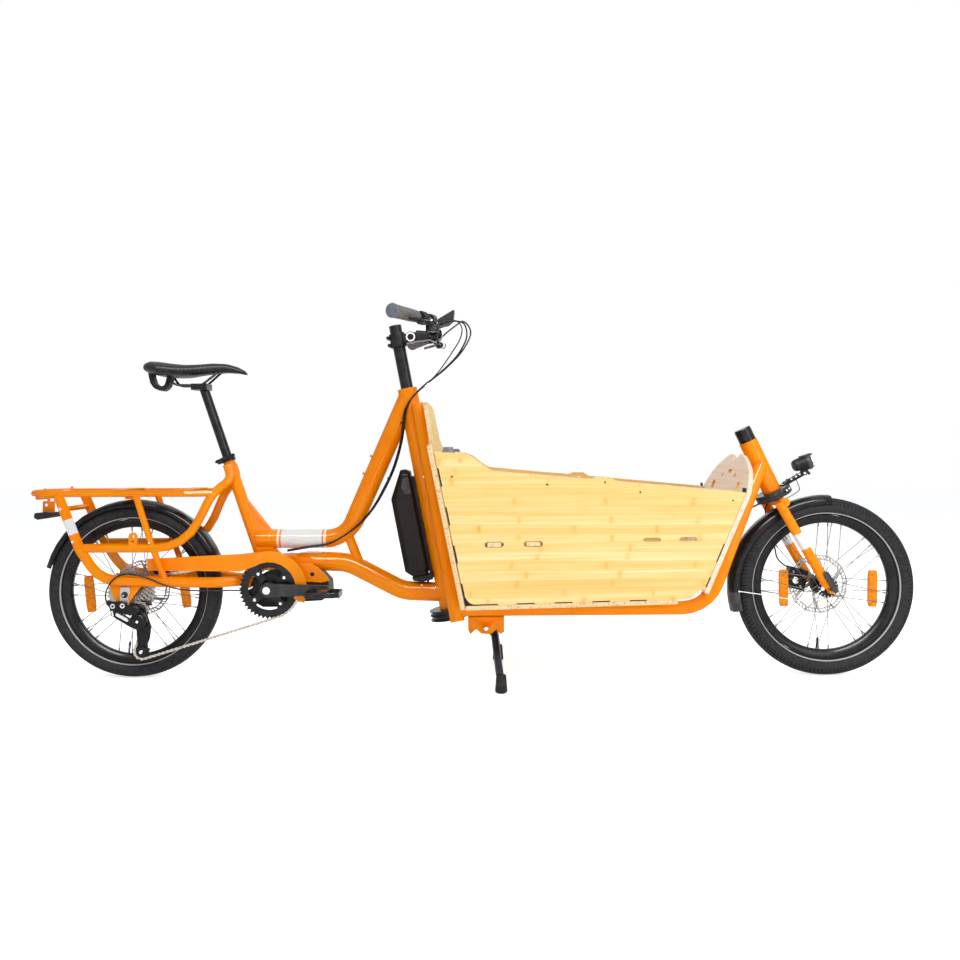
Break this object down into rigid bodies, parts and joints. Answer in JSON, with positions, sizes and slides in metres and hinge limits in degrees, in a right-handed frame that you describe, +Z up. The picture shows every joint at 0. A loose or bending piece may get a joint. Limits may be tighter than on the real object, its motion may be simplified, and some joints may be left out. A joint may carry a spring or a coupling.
{
  "type": "cargo bike",
  "caption": "Long front-loading cargo bike with a bamboo box, cable-steered front wheel, mid motor, rear rack and centre kickstand.",
  "frame": {"origin": "centre of the bounding box at floor height", "axes": "+X forward, +Z up, the chain is on the -Y side"},
  "size_m": [2.5582, 0.7398, 1.0602],
  "materials": {
    "orange_paint": "glossy",
    "bamboo_ply": "satin",
    "black_alloy": "satin",
    "black_plastic": "satin",
    "black_cable": "satin",
    "steel": "brushed",
    "tyre_rubber": "matte",
    "grip_rubber": "matte",
    "saddle_cover": "satin"
  },
  "bodies": {
    "frame": {"main_frame": "orange_paint", "rear_frame": "orange_paint", "cargo_frame": "orange_paint", "side_panel_near": "bamboo_ply", "side_panel_far": "bamboo_ply", "back_panel": "bamboo_ply", "front_panel": "bamboo_ply", "floor_panel": "bamboo_ply", "bench": "bamboo_ply", "motor": "black_plastic", "motor_cover": "orange_paint", "chain_guard": "orange_paint", "chain": "steel", "battery_dock": "black_plastic", "rear_fender": "black_plastic", "tail_light": "black_plastic", "derailleur": "black_alloy", "rear_axle": "black_alloy", "rear_caliper": "black_alloy", "seat_collar": "black_alloy", "stand_bracket": "orange_paint", "gear_cable": "black_cable", "steering_cable": "black_cable", "control_cables": "black_cable"},
    "rear_wheel": {"rear_tyre": "tyre_rubber", "rear_rim": "black_alloy", "rear_hub": "black_alloy", "rear_rotor": "steel"},
    "freewheel": {"cassette": "steel"},
    "cranks": {"chainring": "black_alloy", "crank_arm_near": "black_alloy", "crank_arm_far": "black_alloy"},
    "near_pedal": {"pedal_near": "black_plastic"},
    "far_pedal": {"pedal_far": "black_plastic"},
    "upper_jockey": {"upper_jockey": "black_plastic"},
    "lower_jockey": {"lower_jockey": "black_plastic"},
    "bars": {"mast": "black_alloy", "stem": "black_alloy", "handlebar": "black_alloy", "grip_near": "grip_rubber", "grip_far": "grip_rubber", "display": "black_plastic"},
    "near_brake": {"brake_lever_near": "black_alloy"},
    "far_brake": {"brake_lever_far": "black_alloy"},
    "shifter_paddle": {"shift_lever": "black_plastic"},
    "front_fork": {"fork": "orange_paint", "front_pulley": "black_alloy", "front_fender": "black_plastic", "front_caliper": "black_alloy"},
    "front_wheel": {"front_tyre": "tyre_rubber", "front_rim": "black_alloy", "front_hub": "black_alloy", "front_rotor": "steel"},
    "through_axle": {"front_axle": "black_alloy"},
    "lamp": {"headlight": "black_plastic"},
    "seat": {"seatpost": "black_alloy", "saddle": "saddle_cover"},
    "seat_clamp_lever": {"seat_lever": "black_alloy"},
    "stand": {"stand_legs": "black_alloy"},
    "battery_pack": {"battery": "black_plastic"}
  },
  "joints": [
    {"name": "rear_wheel_spin", "type": "hinge", "parent": "frame", "child": "rear_wheel", "pos_m": [-0.9893, 0, 0.251], "axis": [0, 1, 0], "continuous": true},
    {"name": "cassette_spin", "type": "hinge", "parent": "frame", "child": "freewheel", "pos_m": [-0.9893, 0, 0.251], "axis": [0, 1, 0], "continuous": true},
    {"name": "crank_spin", "type": "hinge", "parent": "frame", "child": "cranks", "pos_m": [-0.585, 0, 0.264], "axis": [0, 1, 0], "continuous": true},
    {"name": "near_pedal_spin", "type": "hinge", "parent": "cranks", "child": "near_pedal", "pos_m": [-0.415, -0.15, 0.264], "axis": [0, 1, 0], "continuous": true},
    {"name": "far_pedal_spin", "type": "hinge", "parent": "cranks", "child": "far_pedal", "pos_m": [-0.755, 0.15, 0.264], "axis": [0, 1, 0], "continuous": true},
    {"name": "upper_jockey_spin", "type": "hinge", "parent": "frame", "child": "upper_jockey", "pos_m": [-0.956, -0.0597, 0.203], "axis": [0, 1, 0], "continuous": true},
    {"name": "lower_jockey_spin", "type": "hinge", "parent": "frame", "child": "lower_jockey", "pos_m": [-0.949, -0.0597, 0.086], "axis": [0, 1, 0], "continuous": true},
    {"name": "fork_steer", "type": "hinge", "parent": "frame", "child": "front_fork", "pos_m": [0.874, 0, 0.528], "axis": [-0.4336, 0, 0.9011], "range_deg": [-45, 45]},
    {"name": "handlebar_steer", "type": "hinge", "parent": "frame", "child": "bars", "pos_m": [-0.071, 0, 0.185], "axis": [-0.1874, 0, 0.9823], "range_deg": [-39.5, 39.5], "deforming": ["control_cables"]},
    {"name": "front_wheel_spin", "type": "hinge", "parent": "front_fork", "child": "front_wheel", "pos_m": [1.0211, 0, 0.258], "axis": [0, 1, 0], "continuous": true},
    {"name": "through_axle_turn", "type": "hinge", "parent": "front_fork", "child": "through_axle", "pos_m": [1.0211, 0, 0.258], "axis": [0, 1, 0], "range_deg": [0, 150]},
    {"name": "headlight_tilt", "type": "hinge", "parent": "front_fork", "child": "lamp", "pos_m": [0.962, 0, 0.588], "axis": [0, 1, 0], "range_deg": [-10, 10]},
    {"name": "near_brake_pull", "type": "hinge", "parent": "bars", "child": "near_brake", "pos_m": [-0.11485, -0.21454, 0.9971], "axis": [-0.4241, 0.2214, -0.8781], "range_deg": [0, 6.5], "stiffness_Nm_per_rad": 2},
    {"name": "far_brake_pull", "type": "hinge", "parent": "bars", "child": "far_brake", "pos_m": [-0.11485, 0.21454, 0.9971], "axis": [0.4241, 0.2214, 0.8781], "range_deg": [0, 6.5], "stiffness_Nm_per_rad": 2},
    {"name": "shift_push", "type": "hinge", "parent": "bars", "child": "shifter_paddle", "pos_m": [-0.1318, -0.1571, 0.9827], "axis": [0, 0, 1], "range_deg": [0, 18], "stiffness_Nm_per_rad": 0.2},
    {"name": "seatpost_slide", "type": "slide", "parent": "frame", "child": "seat", "axis": [-0.3202, 0, 0.9473], "range_m": [-0.08, 0.06]},
    {"name": "seat_lever_open", "type": "hinge", "parent": "frame", "child": "seat_clamp_lever", "pos_m": [-0.7456, 0, 0.6257], "axis": [0, -1, 0], "range_deg": [0, 140]},
    {"name": "kickstand_fold", "type": "hinge", "parent": "frame", "child": "stand", "pos_m": [0.032, 0, 0.163], "axis": [0, 1, 0], "range_deg": [0, 90]},
    {"name": "battery_tilt", "type": "hinge", "parent": "frame", "child": "battery_pack", "pos_m": [-0.14177, 0, 0.35798], "axis": [-0.9823, 0, -0.1874], "range_deg": [0, 18]}
  ],
  "couplings": [
    {"joint": "cassette_spin", "follows": "crank_spin", "ratio": 2.8},
    {"joint": "upper_jockey_spin", "follows": "crank_spin", "ratio": -3.8182},
    {"joint": "lower_jockey_spin", "follows": "crank_spin", "ratio": 3.8182},
    {"joint": "handlebar_steer", "follows": "fork_steer", "ratio": 0.87}
  ]
}
